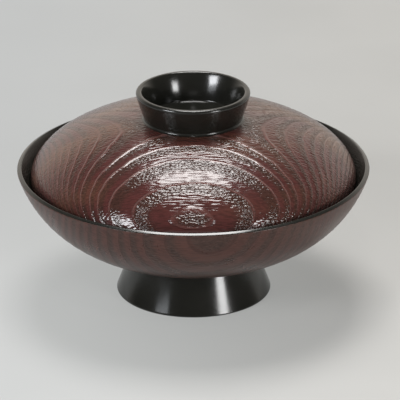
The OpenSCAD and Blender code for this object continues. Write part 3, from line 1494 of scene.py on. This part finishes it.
    def build_knob(self) -> bpy.types.Object:
        """Turns the knob ring.

        Returns:
            The piece.
        """
        base = self.knob_base_radius
        low = self.on_dome(base + self.glue_gap)
        lip_outer = Vector((self.knob_radius, self.knob_top))
        lip_inner = Vector((self.knob_radius - self.knob_lip, self.knob_top))
        skirt = self.on_dome(base + self.knob_fillet)
        flare_start = Vector((low.x, self.on_dome(base).y + self.knob_fillet))
        corner = corner_between(self.on_dome(base), lip_outer, self.knob_flare_shares)
        lip = rounded(corner, lip_outer, lip_inner, self.knob_lip_round, KNOB_LIP_STEPS)
        outline = [Vector((self.bore, self.groove_floor)), Vector((base, self.groove_floor))]
        outline += [Vector((base, low.y - self.coat))]
        outline += bend(skirt, low, flare_start, KNOB_FILLET_STEPS)
        outline += bend(flare_start, corner, lip[0], KNOB_FLARE_STEPS)[1:] + lip
        wall_end = self.on_dome(self.bore)
        wall_low = wall_end + Vector((self.bore_fillet, 0.0))
        corner = corner_between(lip_inner, wall_low, self.bore_bend_shares)
        outline += rounded(lip_outer, lip_inner, corner, self.knob_lip_round, KNOB_LIP_STEPS)
        fillet = rounded(corner, wall_low, wall_end, self.bore_fillet, BORE_FILLET_STEPS)
        outline += bend(outline[-1], corner, fillet[0], BORE_STEPS)[1:-1] + fillet
        return turn_piece("knob_black_ring", outline + [wall_end])

    def build_knob_floor(self) -> bpy.types.Object:
        """Turns the black lacquer on the boss, up to the knob ring."""
        top = self.dome_path((0.0, self.bore), KNOB_FLOOR_STEPS)
        return turn_piece("knob_floor_lacquer", top + lowered(top, self.coat)[::-1])

    def build(self, relief: WoodRelief, materials: Materials) -> None:
        """Builds and dresses the lid's four pieces.

        Args:
            relief: The relief of the dome's wood.
            materials: The material of each slot.
        """
        pieces = {
            "lid_core": (self.build_shell(relief), Slot.RED_WOOD),
            "lid_lining": (self.build_lining(), Slot.BLACK_COAT),
            "knob_ring": (self.build_knob(), Slot.BLACK_WOOD),
            "knob_floor_coat": (self.build_knob_floor(), Slot.BLACK_COAT),
        }
        dress_pieces(Body.LID, pieces, materials)


# Stage

BLACK = (0.0, 0.0, 0.0, 1.0)
MOTTLE = Pattern(scale=9.0, detail=3.0, span=(0.35, 0.65))
MOTTLE_DARKNESS = 0.07
# X where the floor turns from its look on the right to the left one, brightened by painted light
LEFT_SPAN = (0.1, -0.1)
# Y where the floor turns from its look behind the bowl, darkened by painted shade, to that in front
NEAR_SPAN = (0.16, -0.16)
FLOOR_SEGMENTS = 128
PAPER_ROUGHNESS = 0.85
PAPER_SPECULAR = 0.2
# Where the backdrop starts and is full: away from the camera, and down from above
BACKDROP_BACK_SPAN = (0.1, 0.7)
BACKDROP_LOW_SPAN = (0.7, 0.4)
SENSOR_WIDTH = 36.0
FARTHEST_SEEN = 50.0


@dataclass(frozen=True)
class SoftBox:
    """A soft studio lamp, placed by the directions that it fills as seen from the bowl.

    Attributes:
        name: Name of the lamp.
        azimuth: Direction of its middle, in degrees from the camera's side towards +X.
        elevation: Height of its middle in degrees.
        distance: Distance from the bowl.
        width: Width of its panel.
        height: Height of its panel.
        radiance: Brightness of its panel.
        colour: Its tint.
    """

    name: str
    azimuth: float
    elevation: float
    distance: float
    width: float
    height: float
    radiance: float
    colour: tuple[float, float, float]

    def build(self, target: Vector) -> None:
        """Hangs the lamp.

        Args:
            target: The place that it faces.
        """
        lamp = bpy.data.lights.new(self.name, "AREA")
        lamp.shape = "RECTANGLE"
        lamp.size = self.width
        lamp.size_y = self.height
        lamp.energy = self.radiance * math.pi * self.width * self.height
        lamp.color = self.colour
        side, up = math.radians(self.azimuth), math.radians(self.elevation)
        away = Vector((
            math.sin(side) * math.cos(up), -math.cos(side) * math.cos(up), math.sin(up)
        ))
        holder = new_object(self.name, lamp)
        holder.location = target + away * self.distance
        holder.rotation_euler = away.to_track_quat("Z", "Y").to_euler()


@dataclass(frozen=True)
class Studio:
    """The floor, the lamps, the world and the camera.

    Attributes:
        floor_radius: Radius of the floor.
        floor_colour: Colour of the floor, as it lights the bowl.
        floor_shown: Colour of the floor's shaded part on the right, as it is seen or mirrored.
        floor_shown_left: The same on the left, darker, so that with the brighter glow there the
            painted light leaves the floor's shadow paler.
        floor_painted_glow: Painted glow of the floor on the right, as it is seen or mirrored, which
            stands in for the room's light and lifts the bowl's shadow.
        floor_painted_glow_left: The same on the left, brighter: painted light from the left.
        floor_painted_shade_behind: Share of both that is left behind the bowl, where this painted
            shade darkens the floor.
        room_colour: Tint of the room and its backdrop.
        world_level: Brightness of the room.
        backdrop_level: Brightness of the pale backdrop behind the bowl.
        camera_distance: Distance from the camera to its target.
        camera_elevation: Height of the camera in degrees.
        camera_roll: Roll of the camera in degrees.
        target_height: Height of the camera's target.
        pixels_left: How far the bowl's axis stands left of the picture's middle.
        lens: Focal length in millimetres.
        lamps: The soft lamps.
    """

    floor_radius: float = 6.0
    floor_colour: Colour = (0.55, 0.55, 0.56, 1)
    # The shown colours and glows are painted: light from the left, and shade behind the bowl
    floor_shown: Colour = (0.345, 0.34, 0.328, 1)
    floor_shown_left: Colour = (0.16, 0.16, 0.162, 1)
    floor_painted_glow: Colour = (0.228, 0.232, 0.226, 1)
    floor_painted_glow_left: Colour = (0.46, 0.474, 0.468, 1)
    floor_painted_shade_behind: float = 0.8
    room_colour: Colour = (1.0, 0.93, 0.84, 1)
    world_level: float = 0.1
    backdrop_level: float = 0.95
    camera_distance: float = 1.465
    camera_elevation: float = 23.02
    camera_roll: float = -0.2
    target_height: float = 0.0365
    pixels_left: float = 6.57
    lens: float = 340.0
    lamps: tuple[SoftBox, ...] = (
        SoftBox("overhead_box", 180.0, 71.5, 1.35, 0.52, 0.69, 16.5, (1.0, 0.985, 0.97)),
        SoftBox("left_front_box", -50.0, 24.5, 1.3, 0.42, 0.28, 23.0, (0.95, 0.97, 1.0)),
        SoftBox("left_low_panel", -48.0, 15.5, 1.3, 0.42, 0.2, 3.2, (0.9, 0.95, 1.0)),
        SoftBox("right_front_strip", 44.5, 12.5, 1.3, 0.3, 0.42, 18.0, (1.0, 1.0, 1.0)),
        SoftBox("small_top_lamp", 0.0, 52.0, 1.3, 0.12, 0.12, 17.0, (1.0, 0.98, 0.96)),
    )

    @property
    def target(self) -> Vector:
        """Place that the camera and the lamps face."""
        return Vector((0.0, 0.0, self.target_height))

    def build_floor(self) -> None:
        """Lays the pale floor, with painted light on its left and painted shade behind the bowl."""
        shape = bmesh.new()
        radius = self.floor_radius
        bmesh.ops.create_circle(shape, cap_ends=True, segments=FLOOR_SEGMENTS, radius=radius)
        floor = finish_mesh(shape, "floor")
        graph, shader, material = new_material("pale_paper")
        place = graph.add("ShaderNodeTexCoord").outputs["Object"]
        axes = graph.add("ShaderNodeSeparateXYZ", {0: place}).outputs
        rays = graph.add("ShaderNodeLightPath").outputs
        mirrored = graph.math("MAXIMUM", rays["Is Glossy Ray"], rays["Is Transmission Ray"])
        seen = graph.math("MAXIMUM", rays["Is Camera Ray"], mirrored)
        # Painted light: towards the left the floor is brighter and the bowl's shadow on it paler
        leftness = graph.step(axes[Axis.X], *LEFT_SPAN)
        # Painted shade: behind the bowl the floor's seen colour and glow are darkened
        nearness = graph.step(axes[Axis.Y], *NEAR_SPAN, self.floor_painted_shade_behind, 1.0)
        shown = graph.mix(leftness, self.floor_shown, self.floor_shown_left)
        shown = graph.mix(nearness, BLACK, shown)
        mottle = graph.times(graph.patches(place, MOTTLE), MOTTLE_DARKNESS)
        shown = graph.mix(mottle, shown, BLACK)
        # Painted glow, seen and mirrored, that lifts the bowl's shadow and is brighter on the left
        room = graph.mix(leftness, self.floor_painted_glow, self.floor_painted_glow_left)
        graph.feed(shader, {
            "Base Color": graph.mix(seen, self.floor_colour, shown),
            "Emission Color": graph.mix(graph.times(seen, nearness), BLACK, room),
            "Emission Strength": 1.0,
            "Roughness": PAPER_ROUGHNESS,
            "Specular IOR Level": PAPER_SPECULAR,
        })
        floor.data.materials.append(material)

    def build_world(self) -> None:
        """Makes the dim room with a pale backdrop low behind the bowl."""
        world = bpy.data.worlds.new("studio")
        world.use_nodes = True
        bpy.context.scene.world = world
        graph = Graph(world.node_tree)
        direction = graph.add("ShaderNodeTexCoord").outputs["Generated"]
        axes = graph.add("ShaderNodeSeparateXYZ", {0: direction}).outputs
        behind = graph.step(axes[Axis.Y], *BACKDROP_BACK_SPAN)
        low = graph.step(axes[Axis.Z], *BACKDROP_LOW_SPAN)
        backdrop = graph.times(behind, low, self.backdrop_level - self.world_level)
        level = graph.math("ADD", backdrop, self.world_level)
        background = world.node_tree.nodes["Background"]
        graph.feed(background, {"Color": self.room_colour, "Strength": level})

    def build_camera(self) -> None:
        """Sets the camera up."""
        lens = bpy.data.cameras.new("camera")
        lens.lens = self.lens
        lens.sensor_width = SENSOR_WIDTH
        lens.shift_x = self.pixels_left / IMAGE_WIDTH
        lens.clip_end = FARTHEST_SEEN
        camera = new_object("camera", lens)
        up = math.radians(self.camera_elevation)
        away = Vector((0.0, -math.cos(up), math.sin(up)))
        camera.location = self.target + away * self.camera_distance
        tilt = Euler((math.pi / 2 - up, 0.0, 0.0)).to_matrix()
        roll = Euler((0.0, 0.0, math.radians(self.camera_roll))).to_matrix()
        camera.rotation_euler = (tilt @ roll).to_euler()
        bpy.context.scene.camera = camera

    def build(self) -> None:
        """Builds the floor, the world, the camera and the lamps."""
        bpy.context.scene.view_settings.view_transform = "Standard"
        self.build_floor()
        self.build_world()
        self.build_camera()
        for lamp in self.lamps:
            lamp.build(self.target)


def main() -> None:
    """Builds the stage, the bowl and the lid."""
    logging.basicConfig(level=logging.INFO, format="%(name)s: %(message)s")
    workshop = Workshop()
    Studio().build()
    black = BLACK_LACQUER.material(workshop)
    materials = {
        Slot.BROWN_WOOD: BROWN_LACQUER.material(workshop),
        Slot.RED_WOOD: RED_LACQUER.material(workshop),
        Slot.BLACK_WOOD: black,
        Slot.BLACK_COAT: black,
    }
    Bowl.from_frame().build(BROWN_LACQUER.relief, materials)
    Lid.from_frame().build(RED_LACQUER.relief, materials)


if __name__ == "__main__":
    main()
